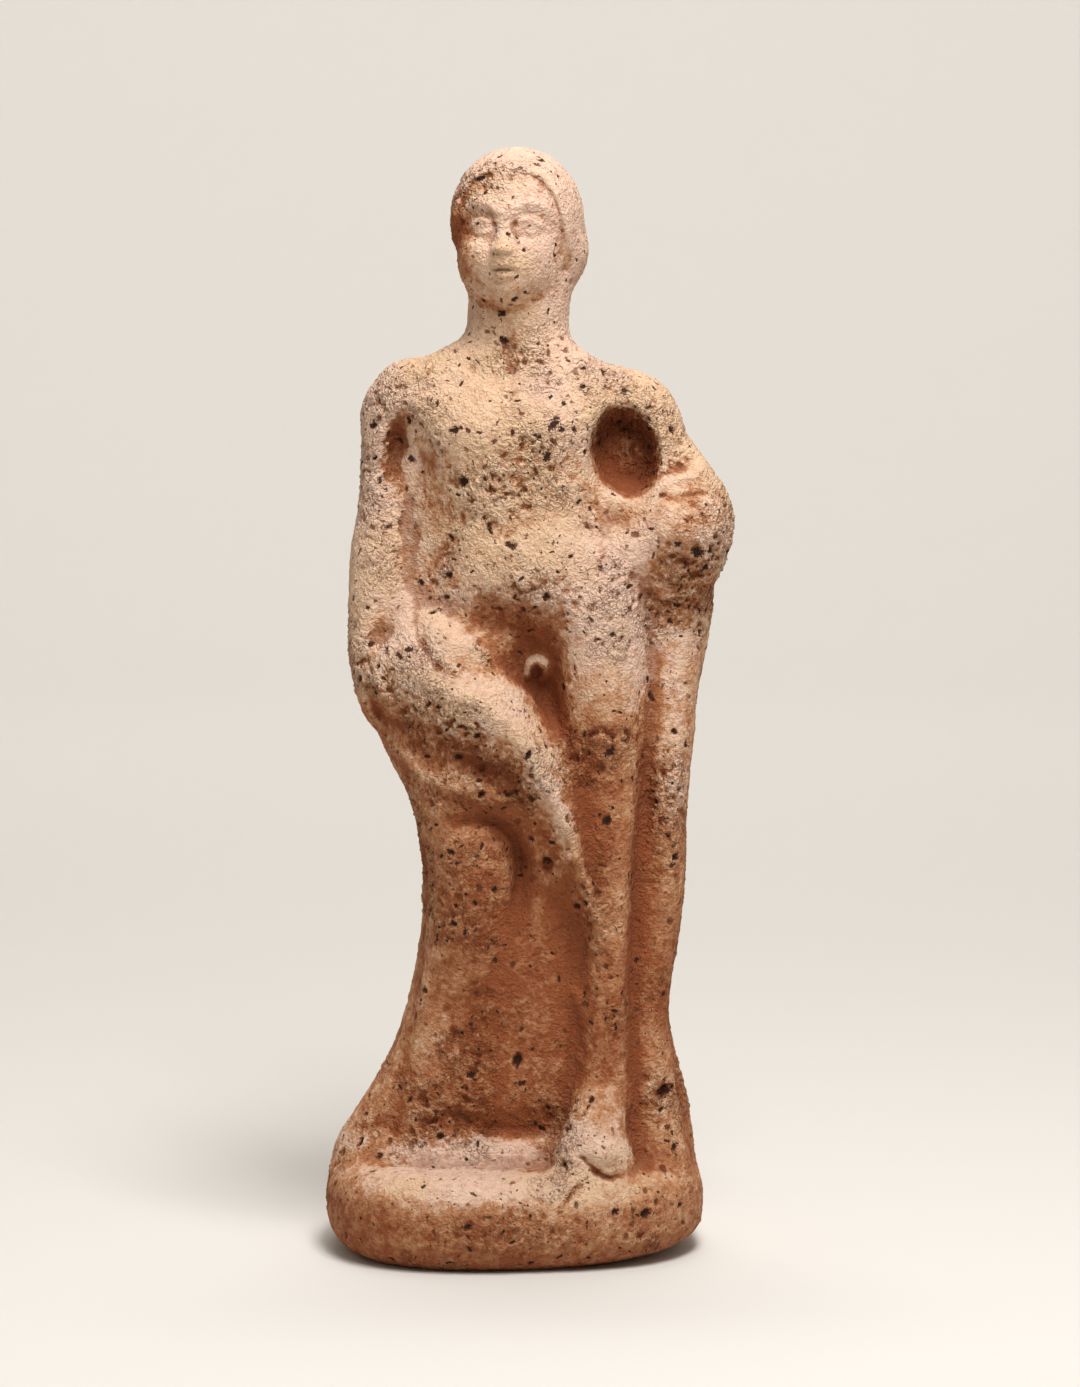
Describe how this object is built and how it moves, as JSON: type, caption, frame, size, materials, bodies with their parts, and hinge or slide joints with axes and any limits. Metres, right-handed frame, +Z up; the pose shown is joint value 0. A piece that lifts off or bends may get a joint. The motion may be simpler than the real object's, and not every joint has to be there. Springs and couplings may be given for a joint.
{
  "type": "votive figurine",
  "caption": "Standing draped youth in coarse terracotta, pressed from a mould in one piece with its low rounded base, which stands on a flat underside.",
  "frame": {"origin": "centre of the base's flat underside, in the middle of the base's plan", "axes": "+Z up along the figure's height, the figure faces -Y, +X towards the viewer's right, which is the figure's left"},
  "size_m": [0.0637, 0.0486, 0.171],
  "materials": {
    "terracotta": "matt unglazed fired clay, coarse with dark volcanic grit, worn and pitted"
  },
  "bodies": {
    "root": {"terracotta_figurine": "terracotta"}
  },
  "joints": []
}
